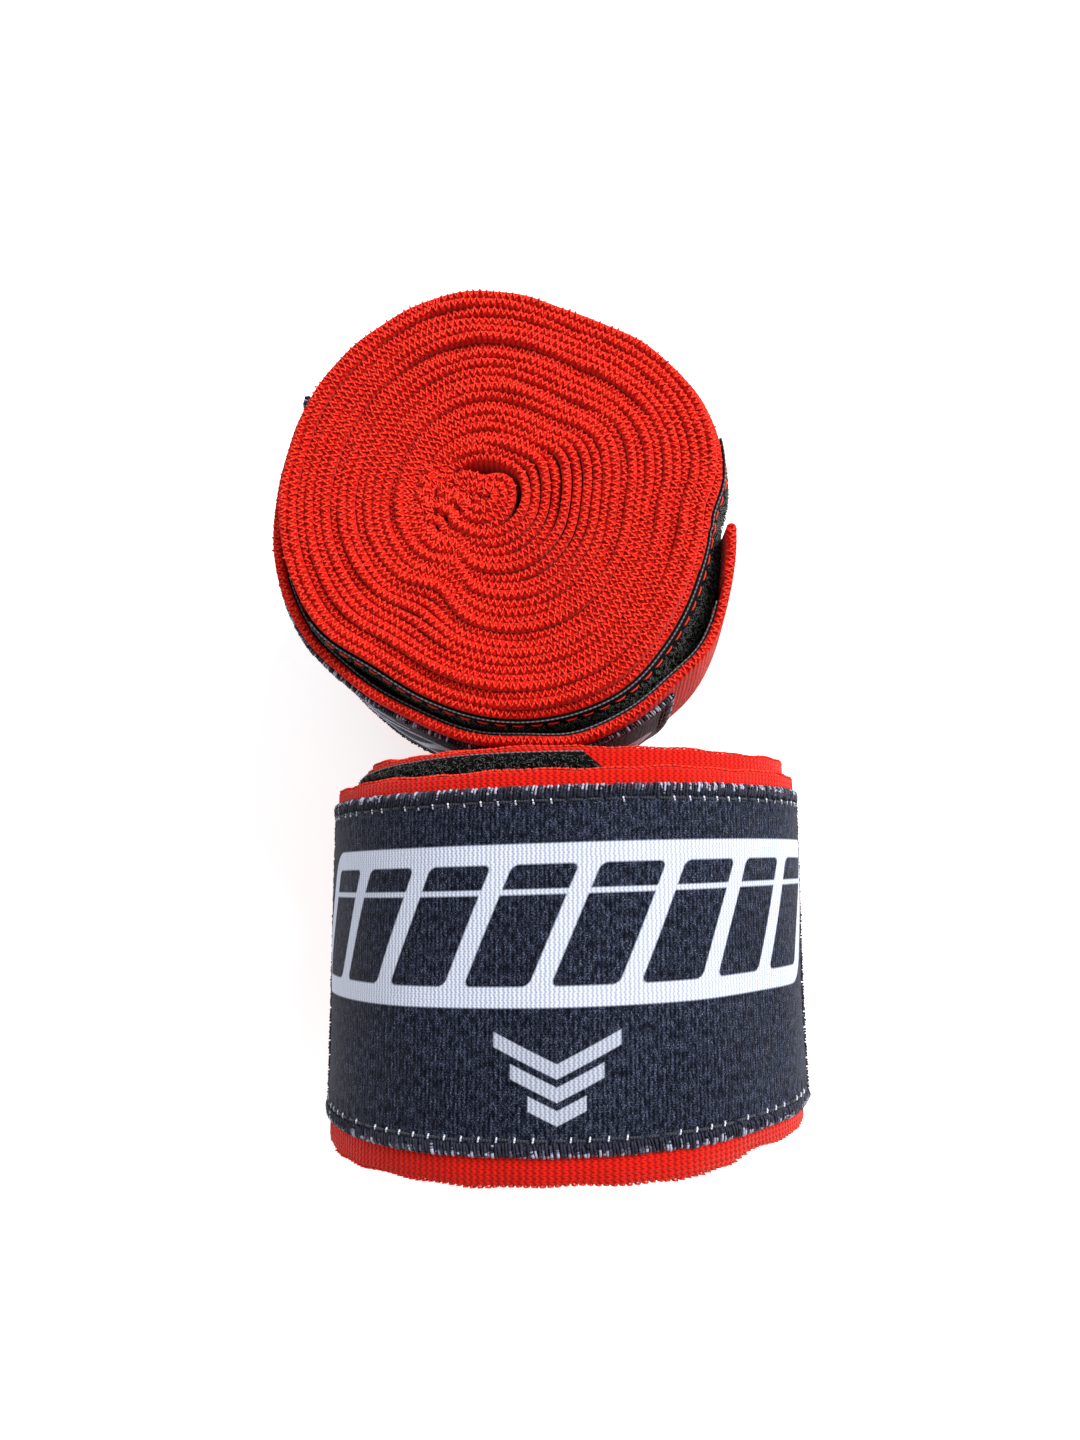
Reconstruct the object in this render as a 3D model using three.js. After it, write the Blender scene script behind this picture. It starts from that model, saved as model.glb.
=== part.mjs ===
// A pair of rolled elastic boxing hand wraps: one stands on its end, the other lies on its
// side against it. Millimetres, +Z up, origin at the bottom centre of the pair.
//
// Both wraps are built alike, in a frame of their own: the roll's axis is +Z, the strap winds
// outward counter-clockwise, and its free end is at angle 0. "back" is the angle in degrees
// from the free end back along the strap, so back = 360 is one turn in from the free end.
import * as THREE from 'three';

// The strap
const strapWidth = 50;
const strapThickness = 0.88;
const turnPitch = 1.18;
const coreRadius = 31.4;
const innermostRadius = 2.9;
const stepsPerCoreTurn = 16;

// What is sewn to the strap
const airGap = 0.3;
const loopTapeThickness = 0.9;
const hookTapeThickness = 0.8;
const labelThickness = 0.5;
const threadThickness = 0.25;

// Where each piece starts and ends along the strap, in degrees back from the free end
const loopTapeSpan = { from: -25, to: 143 };
const hookTapeSpan = { from: 18, to: 158 };
const labelSpan = { from: 42, to: 208 };
const hemSpan = { from: 0, to: 12 };
const hemStitchSpan = { from: 9.5, to: 10.5 };
const tapeRampSpan = { from: 160, to: 262 };
const labelSeamAngle = 2;
const slitAngle = 0.6;
const arcStep = 6;

// Where each piece lies across the strap, from the edge above the label to the edge below it
const tapeField = { low: 2.2, high: 47.8 };
const upperSelvage = { low: 0.8, high: 1.9 };
const lowerSelvage = { low: 48.1, high: 49.2 };
const labelField = { low: 4.0, high: 44.6 };
const upperOverlock = { low: 2.3, high: 3.7 };
const lowerOverlock = { low: 44.9, high: 46.3 };
const hemStitchField = { low: 2, high: 48 };

// The thumb loop, pressed flat in the middle of the roll
const thumbLoop = { length: 2.7, breadth: 1.7, wall: 0.45, low: 12, high: 38 };
const thumbStitch = { at: 1.7, thickness: 0.16, breadth: 0.8, low: 14, high: 36 };

// How the two wraps lie
const standing = {
  name: 'standing',
  axisX: -5.25,
  axisY: 51.66,
  freeEndAngle: -5,
  coreShift: 3.4,
  peelLine: 41,
};
const lying = {
  name: 'lying',
  axisX: 3.66,
  topEndY: 12.43,
  freeEndAngle: 218,
  coreShift: -2.9,
  peelLine: 160,
};

const colours = {
  strap: '#d62a17',
  label: '#23262f',
  thread: '#3c4048',
  loopTape: '#141416',
  hookTape: '#1a1a1d',
  tapeThread: '#5c5a60',
};

const tapeStack = airGap + loopTapeThickness + airGap + hookTapeThickness + airGap + strapThickness;

function radians(degrees) {
  return THREE.MathUtils.degToRad(degrees);
}

function cloth(colour) {
  return new THREE.MeshStandardMaterial({ color: colour, roughness: 0.9, metalness: 0 });
}

function piece(name, geometry, colour) {
  const mesh = new THREE.Mesh(geometry, cloth(colour));
  mesh.name = name;
  return mesh;
}

// Outer face of the wound core under the given angle
function coreFace(back) {
  return coreRadius - turnPitch * back / 360;
}

// Outer face of the outermost turn: over both tapes near the free end, then down onto the core
function outerFace(back) {
  const overTapes = coreFace(back) + tapeStack;
  const onCore = coreFace(back - 360);
  const share = THREE.MathUtils.smoothstep(back, tapeRampSpan.from, tapeRampSpan.to);
  return THREE.MathUtils.lerp(overTapes, onCore, share);
}

function loopTapeFace(back) {
  return coreFace(back) + airGap + loopTapeThickness;
}

function hookTapeFace(back) {
  return loopTapeFace(back) + airGap + hookTapeThickness;
}

function labelFace(back) {
  return outerFace(back) + airGap + labelThickness;
}

function pointAt(back, radius) {
  const angle = radians(-back);
  return new THREE.Vector2(radius * Math.cos(angle), radius * Math.sin(angle));
}

// Points along one face, from one angle to the other, with both ends included
function facePoints(face, from, to, step = arcStep) {
  const count = Math.max(1, Math.round(Math.abs(to - from) / step));
  const points = [];
  for (let i = 0; i <= count; i++) {
    const back = THREE.MathUtils.lerp(from, to, i / count);
    points.push(pointAt(back, face(back)));
  }
  return points;
}

function extruded(points, low, high) {
  const geometry = new THREE.ExtrudeGeometry(new THREE.Shape(points), {
    depth: high - low,
    bevelEnabled: false,
  });
  return geometry.translate(0, 0, low);
}

// A strip bent round the roll: its outer face, its thickness, and its span round and across
function bentStrip(face, thickness, span, field, step) {
  const inner = (back) => face(back) - thickness;
  const outline = [
    ...facePoints(face, span.to, span.from, step),
    ...facePoints(inner, span.from, span.to, step),
  ];
  return extruded(outline, field.low, field.high);
}

// The free end of the strap, with its last stretch folded under and sewn down as a hem
function hemmedEnd(peelLine) {
  const inner = (back) => outerFace(back) - strapThickness;
  const foldOuter = (back) => inner(back) - airGap;
  const foldInner = (back) => foldOuter(back) - hookTapeThickness;
  const foldDepth = hemSpan.from + 1.2;
  const outline = [
    ...facePoints(outerFace, peelLine, hemSpan.from),
    ...facePoints(foldInner, hemSpan.from, hemSpan.to),
    ...facePoints(foldOuter, hemSpan.to, foldDepth),
    ...facePoints(inner, foldDepth, peelLine),
  ];
  return extruded(outline, 0, strapWidth);
}

// The wound core: one true spiral from the outermost turn in to the thumb loop
function woundCore() {
  const turns = (coreRadius - innermostRadius) / turnPitch;
  const steps = Math.floor(turns * stepsPerCoreTurn);
  const span = { from: 0, to: steps * 360 / stepsPerCoreTurn };
  return bentStrip(coreFace, strapThickness, span, { low: 0, high: strapWidth }, 360 / stepsPerCoreTurn);
}

function flattenedLoop() {
  const straight = (thumbLoop.length - thumbLoop.breadth) / 2;
  const outer = thumbLoop.breadth / 2;
  const inner = outer - thumbLoop.wall;
  const racetrack = (target, radius) => {
    target.absarc(straight, 0, radius, -Math.PI / 2, Math.PI / 2, false);
    target.absarc(-straight, 0, radius, Math.PI / 2, Math.PI * 3 / 2, false);
    return target;
  };
  const band = racetrack(new THREE.Shape(), outer);
  band.holes.push(racetrack(new THREE.Path(), inner));
  const geometry = new THREE.ExtrudeGeometry(band, {
    depth: thumbLoop.high - thumbLoop.low,
    curveSegments: 8,
    bevelEnabled: false,
  });
  return geometry.translate(0, 0, thumbLoop.low);
}

function thumbLoopBarTack() {
  const height = thumbStitch.high - thumbStitch.low;
  const bar = new THREE.BoxGeometry(thumbStitch.thickness, thumbStitch.breadth, height);
  return bar.translate(thumbStitch.at, 0, (thumbStitch.low + thumbStitch.high) / 2);
}

// Cuts a span at the peel line into the part on the flap and the part on the roll
function splitAt(line, span) {
  const onFlap = { from: span.from, to: Math.min(span.to, line - slitAngle / 2) };
  const onRoll = { from: Math.max(span.from, line + slitAngle / 2), to: span.to };
  return [onFlap, onRoll].filter((part) => part.to - part.from > slitAngle);
}

// Adds a strip that is sewn to the outermost turn. Where the peel line crosses it, it becomes
// two nodes, and the one on the flap says so in its name.
function addPeelingStrip(group, wrap, name, strip) {
  const parts = splitAt(wrap.peelLine, strip.span);
  for (const part of parts) {
    const crossed = parts.length === 2 && part.to < wrap.peelLine;
    const label = `${wrap.name}_${crossed ? 'flap_' : ''}${name}`;
    group.add(piece(label, bentStrip(strip.face, strip.thickness, part, strip.field), strip.colour));
  }
}

// The pile of the tape, and the two rows of stitches in its selvages that hold it to the strap
function tapeStrips(name, face, thickness, span, colour) {
  const shared = { face, thickness, span };
  return {
    [name]: { ...shared, field: tapeField, colour },
    [`${name}_upper_stitching`]: { ...shared, field: upperSelvage, colour: colours.tapeThread },
    [`${name}_lower_stitching`]: { ...shared, field: lowerSelvage, colour: colours.tapeThread },
  };
}

// Sewn to the outside of the turn below, so it stays on the roll when the flap is peeled
function addLoopTape(group, wrap) {
  const strips = tapeStrips('loop_tape', loopTapeFace, loopTapeThickness, loopTapeSpan, colours.loopTape);
  for (const [name, strip] of Object.entries(strips)) {
    const geometry = bentStrip(strip.face, strip.thickness, strip.span, strip.field);
    group.add(piece(`${wrap.name}_${name}`, geometry, strip.colour));
  }
}

// Sewn to the inside of the outermost turn
function addHookTape(group, wrap) {
  const strips = tapeStrips('hook_tape', hookTapeFace, hookTapeThickness, hookTapeSpan, colours.hookTape);
  for (const [name, strip] of Object.entries(strips)) addPeelingStrip(group, wrap, name, strip);
}

function addLabel(group, wrap) {
  const start = { from: labelSpan.from, to: labelSpan.from + labelSeamAngle };
  const end = { from: labelSpan.to - labelSeamAngle, to: labelSpan.to };
  const panel = { from: start.to + slitAngle, to: end.from - slitAngle };
  const shared = { face: labelFace, thickness: labelThickness, colour: colours.thread };
  const strips = {
    label: { ...shared, span: panel, field: labelField, colour: colours.label },
    label_start_seam: { ...shared, span: start, field: labelField },
    label_end_seam: { ...shared, span: end, field: labelField },
    label_upper_overlock: { ...shared, span: labelSpan, field: upperOverlock },
    label_lower_overlock: { ...shared, span: labelSpan, field: lowerOverlock },
  };
  for (const [name, strip] of Object.entries(strips)) addPeelingStrip(group, wrap, name, strip);
}

function addOutermostTurn(group, wrap) {
  const strapField = { low: 0, high: strapWidth };
  const turn = { from: wrap.peelLine + slitAngle / 2, to: 360 - slitAngle };
  const stitchFace = (back) => outerFace(back) + airGap + threadThickness;
  group.add(
    piece(`${wrap.name}_outer_turn`, bentStrip(outerFace, strapThickness, turn, strapField), colours.strap),
    piece(`${wrap.name}_free_end`, hemmedEnd(wrap.peelLine - slitAngle / 2), colours.strap),
    piece(
      `${wrap.name}_hem_stitching`,
      bentStrip(stitchFace, threadThickness, hemStitchSpan, hemStitchField),
      colours.strap,
    ),
  );
}

// The wound core with the thumb loop inside it, pushed along the axis out of the outer turn
function addCore(group, wrap) {
  const core = new THREE.Group();
  core.position.z = wrap.coreShift;
  core.add(
    piece(`${wrap.name}_strap_turns`, woundCore(), colours.strap),
    piece(`${wrap.name}_thumb_loop`, flattenedLoop(), colours.strap),
    piece(`${wrap.name}_thumb_loop_stitching`, thumbLoopBarTack(), colours.strap),
  );
  group.add(core);
}

function handWrap(wrap) {
  const group = new THREE.Group();
  addCore(group, wrap);
  addOutermostTurn(group, wrap);
  addLoopTape(group, wrap);
  addHookTape(group, wrap);
  addLabel(group, wrap);
  group.rotation.z = radians(wrap.freeEndAngle);
  return group;
}

// Stands on its lower end
function standingWrap() {
  const place = new THREE.Group();
  place.add(handWrap(standing));
  place.position.set(standing.axisX, standing.axisY, 0);
  return place;
}

// Lies on its side, with the edge below the label away from the standing wrap. Nothing is sewn
// where it touches the surface, so it rests on the plain outer turn.
function lyingWrap() {
  const place = new THREE.Group();
  const backAtBottom = lying.freeEndAngle + 90;
  place.add(handWrap(lying));
  place.rotation.x = radians(90);
  place.position.set(lying.axisX, lying.topEndY, outerFace(backAtBottom));
  return place;
}

const pair = new THREE.Group();
pair.add(standingWrap(), lyingWrap());

// The origin goes to the bottom centre of the pair
pair.updateMatrixWorld(true);
const box = new THREE.Box3().setFromObject(pair, true);
pair.position.set(-(box.min.x + box.max.x) / 2, -(box.min.y + box.max.y) / 2, -box.min.z);

export default pair;
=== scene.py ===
import math

import bpy
import numpy as np
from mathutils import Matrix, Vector


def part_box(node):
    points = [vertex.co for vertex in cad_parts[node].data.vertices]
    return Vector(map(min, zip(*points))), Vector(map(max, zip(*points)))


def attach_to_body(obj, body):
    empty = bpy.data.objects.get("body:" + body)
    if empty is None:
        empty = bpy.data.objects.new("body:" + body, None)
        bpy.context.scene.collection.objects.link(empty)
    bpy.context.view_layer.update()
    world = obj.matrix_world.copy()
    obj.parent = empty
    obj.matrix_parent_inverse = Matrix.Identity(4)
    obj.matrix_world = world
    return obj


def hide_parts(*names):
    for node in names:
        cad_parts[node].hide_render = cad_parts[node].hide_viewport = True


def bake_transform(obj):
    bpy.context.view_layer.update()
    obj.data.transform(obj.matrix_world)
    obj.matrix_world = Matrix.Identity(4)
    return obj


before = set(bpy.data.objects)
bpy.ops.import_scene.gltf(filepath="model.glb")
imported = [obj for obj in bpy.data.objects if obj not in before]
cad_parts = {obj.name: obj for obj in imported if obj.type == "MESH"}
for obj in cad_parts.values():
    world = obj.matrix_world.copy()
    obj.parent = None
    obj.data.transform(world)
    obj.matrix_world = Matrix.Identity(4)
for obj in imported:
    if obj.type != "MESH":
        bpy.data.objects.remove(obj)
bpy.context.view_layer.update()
rng = np.random.default_rng(7)
mm = 0.001
print("frame loaded:", len(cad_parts), "CAD nodes")

# The camera looks almost straight down on the pair, as a phone held over a table does.
view = {"x": 1.57, "y": -22.9, "height": 195.8, "tilt": 8.13, "lens": 25.98, "film": 36.0}
cameraData = bpy.data.cameras.new("camera")
cameraData.sensor_fit = "VERTICAL"
cameraData.sensor_height = view["film"]
cameraData.lens = view["lens"]
cameraData.clip_start = 0.01
camera = bpy.data.objects.new("camera", cameraData)
camera.location = (view["x"] * mm, view["y"] * mm, view["height"] * mm)
camera.rotation_euler = (math.radians(view["tilt"]), 0, 0)
bpy.context.scene.collection.objects.link(camera)
bpy.context.scene.camera = camera

# The strap, in millimetres. "back" is the angle in degrees from the free end back along it.
strap = {
    "width": 50.0, "thickness": 1.28, "pitch": 1.18, "coreRadius": 31.4, "innermost": 1.3,
    "edgeRound": 0.34, "ribPitch": 0.85, "ribHeight": 0.07, "loopPitch": 0.96, "between": 0.12,
    "underYarn": 0.14,
}
tape = {"loopBack": (-25, 143), "hookBack": (18, 158), "low": 0.8, "high": 49.2, "ramp": (150, 182),
        "stack": 0.8, "stitchAt": (2.35, 47.65), "stitchIn": 0.6, "cord": 0.11}

# Outlines are lists of (angle, share of the round radius); the strap winds inside them.
# flare and bulge lean the loose end and the turns under it outward: (angle, spread, distance).
# kinks are (angle, spread, height, (from, to)); tongue and buckle shape the innermost turns.
wraps = {
    "standing": {
        "freeEnd": -5, "coreShift": 3.4, "shiftBack": (345, 520), "upright": True,
        "roll": "standing_roll", "flap": "standing_tab",
        "bend": (41.8, 28), "splitBack": 128,
        "outline": [(0, 0.957), (10, 1.028), (25, 1.072), (45, 1.055), (68, 1.016), (90, 1.063),
                    (105, 1.085), (130, 1.062), (150, 1.05), (165, 1.035), (180, 1.04), (200, 1.035),
                    (215, 1.022), (232, 0.957), (250, 0.963), (270, 0.99), (290, 1.003), (303, 1.002),
                    (320, 0.966), (340, 0.943), (352, 0.95)],
        "midOutline": [(0, 0.95), (34, 1.06), (62, 0.98), (100, 1.05), (150, 1.04), (190, 1.05),
                       (215, 0.97), (234, 0.88), (258, 0.95), (290, 0.99), (330, 0.96)],
        "coreOutline": [(0, 1.0), (45, 1.05), (90, 1.0), (135, 1.05), (180, 1.06), (225, 0.98),
                        (270, 0.95), (315, 0.95)],
        "tapeGap": [(190, 0.3), (205, 0.3), (220, 0.7), (233, 1.7), (247, 1.35), (262, 1.6), (275, 1.4),
                    (287, 2.3), (300, 2.25), (313, 2.7), (325, 3.9), (342, 3.1), (355, 2.1)],
        "skew": 0.0, "slack": 0.0, "yarnPlay": 0.8, "centre": (-2.9, 0.8),
        "flare": (324, 32, 2.9), "bulge": (338, 48, 3.6),
        "kinks": [(234, 12, -1.2, (8, 23)), (38, 12, 0.4, (7, 21))],
        "tongue": {"back": 8035, "arch": (92, 46, 2.3), "slit": (-20, 60, 0.85)},
        "buckle": {"angle": 184, "spread": 36, "pitch": 2.3, "slope": 0.45, "height": 0.9,
                   "reach": (2.4, 11)},
        "phase": 0.4,
    },
    "lying": {
        "freeEnd": 218, "coreShift": -2.9, "shiftBack": (345, 470), "upright": False,
        "roll": "lying_roll", "flap": "lying_flap",
        "bend": (176, 144), "splitBack": 200,
        "outline": [(0, 1.10), (30, 1.085), (60, 1.02), (90, 0.99), (130, 1.0), (175, 0.99), (215, 0.98),
                    (270, 1.0), (318, 1.04)],
        "midOutline": [(0, 1.02), (50, 0.95), (95, 1.04), (150, 0.98), (200, 1.05), (250, 0.95),
                       (310, 1.02)],
        "coreOutline": [(0, 1.0), (60, 0.88), (120, 1.12), (180, 0.96), (240, 0.9), (300, 1.1)],
        "tapeGap": [(58, 1.5), (80, 1.75), (105, 1.6), (130, 1.7), (160, 1.5), (190, 1.9), (214, 1.8)],
        "skew": 1.0, "slack": 1.1, "yarnPlay": 0.35, "centre": (1.8, -1.0),
        "flare": (322, 26, 0.0), "bulge": (322, 26, 0.0),
        "kinks": [(300, 14, -1.2, (8, 22)), (110, 10, 0.9, (9, 20))],
        "tongue": {"back": 7950, "arch": (250, 48, 1.9), "slit": (170, 42, 0.8)},
        "buckle": {"angle": 20, "spread": 36, "pitch": 1.4, "slope": -0.3, "height": 0.4,
                   "reach": (2.4, 8.5)},
        "phase": 2.1,
    },
}


def middle(node):
    low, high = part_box(node)
    return (low + high) / 2 / mm


def placeWraps():
    for name, wrap in wraps.items():
        axis = middle(name + "_thumb_loop")
        low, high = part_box(name + "_outer_turn")
        if wrap["upright"]:
            wrap["origin"] = (axis.x, axis.y, low.z / mm)
        else:
            wrap["origin"] = (axis.x, high.y / mm, axis.z)
        wrap["name"] = name


def smoothStep(value, low, high):
    t = np.clip((value - low) / (high - low), 0, 1)
    return t * t * (3 - 2 * t)


def hump(value, centre, spread):
    away = (value - centre + 180) % 360 - 180
    return np.exp(-((away / spread) ** 2))


def closedCurve(points, angle):
    # A smooth closed curve through (angle, value) points.
    at = np.array([p[0] for p in points], float)
    value = np.array([p[1] for p in points], float)
    gap = np.append(at[1:], at[0] + 360) - at
    chord = (np.roll(value, -1) - value) / gap
    slope = (chord + np.roll(chord, 1)) / 2
    a = np.mod(angle - at[0], 360) + at[0]
    i = np.clip(np.searchsorted(at, a, side="right") - 1, 0, len(at) - 1)
    j = (i + 1) % len(at)
    t = (a - at[i]) / gap[i]
    rise, fall = t * t * (3 - 2 * t), t * (1 - t)
    return value[i] * (1 - rise) + value[j] * rise + gap[i] * fall * ((1 - t) * slope[i] - t * slope[j])


def turnFace(wrap, back):
    # How far out the wound strap's outer face is, and its angle, in the wrap's own frame.
    angle = wrap["freeEnd"] - back
    reach = strap["coreRadius"] - strap["pitch"] * (back - 360) / 360
    share = np.clip(reach / strap["coreRadius"], 0, 1)
    outer, mid, core = (closedCurve(wrap[k], angle) for k in ("outline", "midOutline", "coreOutline"))
    nearRim = smoothStep(share, 0.5, 1.0)
    nearCore = 1 - smoothStep(share, 0.1, 0.5)
    shape = mid * (1 - nearRim - nearCore) + outer * nearRim + core * nearCore
    radius = reach * shape
    for at, spread, height, (low, high) in wrap["kinks"]:
        middleReach, half = (low + high) / 2, (high - low) / 2
        radius = radius + height * hump(angle, at, spread) * np.exp(-(((reach - middleReach) / half) ** 4))
    # Where the turns were pushed together they buckle into small pleats, all in step.
    buckle = wrap["buckle"]
    low, high = buckle["reach"]
    inside = smoothStep(reach, low - 1, low + 1) * (1 - smoothStep(reach, high - 2, high))
    position = radius * (np.sin(np.radians(angle)) + buckle["slope"] * np.cos(np.radians(angle)))
    wave = np.sin(2 * math.pi * position / buckle["pitch"])
    pleat = wave * inside * hump(angle, buckle["angle"], buckle["spread"])
    radius = radius + buckle["height"] * pleat
    # The innermost turns fall away from the one round them and leave an arch and a slit.
    tongue = wrap["tongue"]
    fallen = smoothStep(back, tongue["back"] - 30, tongue["back"] + 30)
    for at, spread, height in (tongue["arch"], tongue["slit"]):
        radius = radius - height * fallen * hump(angle, at, spread)
    return angle, np.maximum(radius, 0.66), share, pleat


def terraces(wrap, back):
    # The turns don't lie quite level: slow and quick waves of height run along the strap.
    turn = back / 360 + wrap["phase"]
    return (0.32 * np.sin(turn * 4.48) + 0.26 * np.sin(turn * 2.79 + 1.0)
            + 0.14 * np.sin(turn * 8.1 + 2.0) + 0.10 * np.sin(turn * 23 + 0.5))


def strapLine(wrap):
    # The middle of the strap from its free end to its inner end, seen along the roll's axis.
    turns = 1 + (strap["coreRadius"] - strap["innermost"]) / strap["pitch"]
    back = np.arange(0, turns * 360, 0.25)
    inner = np.where(back < 360, back + 360, back)
    angle, face, share, pleat = turnFace(wrap, inner)
    half = strap["thickness"] / 2
    overTapes = 1 - smoothStep(back, *tape["ramp"])
    gap = closedCurve(wrap["tapeGap"], angle) + tape["stack"]
    onOuterTurn = face + (gap * overTapes + strap["between"] * (1 - overTapes)) + half
    radius = np.where(back < 360, onOuterTurn, face - half)
    settle = smoothStep(back, 325, 360) * (1 - smoothStep(back, 360, 395))
    shift = np.array(wrap["centre"])[:, None] * (1 - smoothStep(share, 0.15, 0.56))
    x = radius * np.cos(np.radians(angle)) + shift[0]
    y = radius * np.sin(np.radians(angle)) + shift[1]
    dx, dy = np.gradient(x), np.gradient(y)
    step = np.hypot(dx, dy)
    length = np.concatenate(([0], np.cumsum(np.hypot(np.diff(x), np.diff(y)))))
    risen = smoothStep(back, *wrap["shiftBack"])
    rise = wrap["coreShift"] * risen + terraces(wrap, back) * risen * (1 - 0.5 * settle)
    lean = np.cos(np.pi * np.clip((back - 42) / 166, 0, 1)) * (1 - smoothStep(back, 230, 350))
    rise = rise + wrap["skew"] * lean + 0.3 * pleat * risen
    at, spread, out = wrap["flare"]
    flare = out * hump(angle, at, spread) * (1 - smoothStep(back, 90, 130))
    # Below its open edge the core bulges out to meet the strap round it.
    at, spread, out = wrap["bulge"]
    bulge = np.minimum(out * hump(angle, at, spread), closedCurve(wrap["tapeGap"], angle) + 0.1)
    bulge = bulge * smoothStep(back, 330, 350) * (1 - smoothStep(back, 500, 1300))
    wrap["line"] = {"back": back, "s": length, "x": x, "y": y, "nx": -dy / step, "ny": dx / step,
                    "rise": rise, "flare": flare, "bulge": bulge}
    wrap["length"] = float(length[-1])


def along(wrap, back):
    return float(np.interp(back, wrap["line"]["back"], wrap["line"]["s"]))


def toRow(wrap, x, y, z):
    ox, oy, oz = wrap["origin"]
    points = (ox + x, oy + y, oz + z) if wrap["upright"] else (ox + x, oy - z, oz + y)
    return np.stack(np.broadcast_arrays(*points), -1) * mm


def place(wrap, s, n, z):
    # s runs along the strap, n stands out from its middle, z runs across it.
    line = wrap["line"]
    keys = ("x", "y", "nx", "ny", "rise", "flare", "bulge")
    x, y, nx, ny, rise, flare, bulge = (np.interp(s, line["s"], line[k]) for k in keys)
    beyond = np.minimum(s, 0)
    down = 1 - z / strap["width"]
    openOut = 0.4 * down + 0.6 * np.sin(np.pi * np.clip(down, 0, 1))
    n = n + flare * openOut + bulge * smoothStep(down, 0.0, 0.18)
    return toRow(wrap, x + nx * n + beyond * ny, y + ny * n - beyond * nx, z + rise)


def lowEdge(wrap, s):
    wave = 0.12 * np.sin(s * 0.31 + wrap["phase"]) + 0.07 * np.sin(s * 0.83)
    return wave * (0 if wrap["upright"] else 1)


def highEdge(wrap, s):
    # Past the hook tape the strap is stretched, so it is a little narrower.
    wave = 0.14 * np.sin(s * 0.27 + 1 + wrap["phase"]) + 0.09 * np.sin(s * 0.71)
    line = wrap["line"]
    back = np.interp(s, line["s"], line["back"])
    narrow = wrap["slack"] * smoothStep(back, 163, 172) * (1 - smoothStep(back, 300, 350))
    return strap["width"] + wave - narrow


def meshPiece(name, points, faces, uv, material, caps=None):
    points, faces = points.reshape(-1, 3), np.asarray(faces, np.int32)
    a, b, c, d = (points[faces[:, i]] for i in range(4))
    volume = np.einsum("ij,ij->", a, np.cross(b, c)) + np.einsum("ij,ij->", a, np.cross(c, d))
    caps = np.zeros((0, 4), np.int32) if caps is None else np.asarray(caps, np.int32)
    if volume < 0:
        faces, caps = faces[:, ::-1], caps[:, ::-1]
    corners = np.concatenate([faces.ravel(), caps.ravel()]).astype(np.int32)
    starts = np.concatenate([np.arange(len(faces)) * 4, faces.size + np.arange(len(caps)) * caps.shape[1]])
    mesh = bpy.data.meshes.new(name)
    mesh.vertices.add(len(points))
    mesh.vertices.foreach_set("co", points.astype(np.float32).ravel())
    mesh.loops.add(len(corners))
    mesh.loops.foreach_set("vertex_index", corners)
    mesh.polygons.add(len(starts))
    mesh.polygons.foreach_set("loop_start", starts.astype(np.int32))
    mesh.update(calc_edges=True)
    layer = mesh.uv_layers.new(name="cloth")
    layer.data.foreach_set("uv", uv.reshape(-1, 2)[corners].astype(np.float32).ravel())
    mesh.polygons.foreach_set("use_smooth", np.ones(len(starts), bool))
    mesh.materials.append(material)
    piece = bpy.data.objects.new(name, mesh)
    bpy.context.scene.collection.objects.link(piece)
    return piece


def gridFaces(rows, columns):
    # Faces between each ring of points and the next.
    first = np.arange(rows - 1)[:, None] * columns
    j = np.arange(columns)[None, :]
    nextJ = (j + 1) % columns
    corners = (first + j, first + nextJ, first + columns + nextJ, first + columns + j)
    return np.stack(np.broadcast_arrays(*corners), -1).reshape(-1, 4)


def loft(name, wrap, s, n, z, material, uv=None):
    # One closed strip: a ring of points round its section at each step along it.
    s, n, z = np.broadcast_arrays(s, n, z)
    rows, columns = s.shape
    caps = [np.arange(columns)[::-1], np.arange(columns) + (rows - 1) * columns]
    uv = np.stack([s, z], -1) if uv is None else uv
    return meshPiece(name, place(wrap, s, n, z), gridFaces(rows, columns), uv, material, caps)


def section(outerRows, innerRows, rounding):
    # Round a strip's section: side across its thickness, share across its width, and the rounded edge.
    arc = np.radians([30, 60, 90, 120, 150])
    outer, inner, corner = np.ones(outerRows), np.ones(innerRows), np.ones(len(arc))
    side = np.concatenate([outer, np.cos(arc), -inner, -np.cos(arc)])
    share = np.concatenate([np.linspace(0, 1, outerRows), corner, np.linspace(1, 0, innerRows), 0 * corner])
    edge = np.concatenate([0 * outer, np.sin(arc), 0 * inner, -np.sin(arc)]) * rounding
    return side, share, edge


def flat(s):
    return s, 0 * s, 0 * s, 0 * s + 1


def strip(name, wrap, sFrom, sTo, step, low, high, nLow, nHigh, material, outerRows=2, innerRows=2,
          rounding=0.2, relief=None, path=flat, clip=None, uvStart=0.0, lift=None):
    # A bent strip between two faces, with rounded edges. low and high may be functions of s.
    s = np.linspace(sFrom, sTo, max(2, int(round((sTo - sFrom) / step)) + 1))[:, None]
    side, share, edge = section(outerRows, innerRows, rounding)
    lowZ = low(s) if callable(low) else low
    highZ = high(s) if callable(high) else high
    z = lowZ + rounding + (highZ - lowZ - 2 * rounding) * share + edge
    n = (nLow + nHigh) / 2 + side * (nHigh - nLow) / 2 + 0 * s
    if relief is not None:
        n = n + np.where(side > 0.99, 1.0, 0.0) * relief(s, z)
    if lift is not None:
        n = n + lift(s, z)
    if clip is not None:
        s = s - clip(z) * (s - sFrom) / (sTo - sFrom)
    middleS, middleN, leanS, leanN = path(s)
    uv = np.stack(np.broadcast_arrays(s - uvStart, z + 0 * s), -1)
    return loft(name, wrap, middleS + leanS * n, middleN + leanN * n, z + 0 * s, material, uv)


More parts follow.
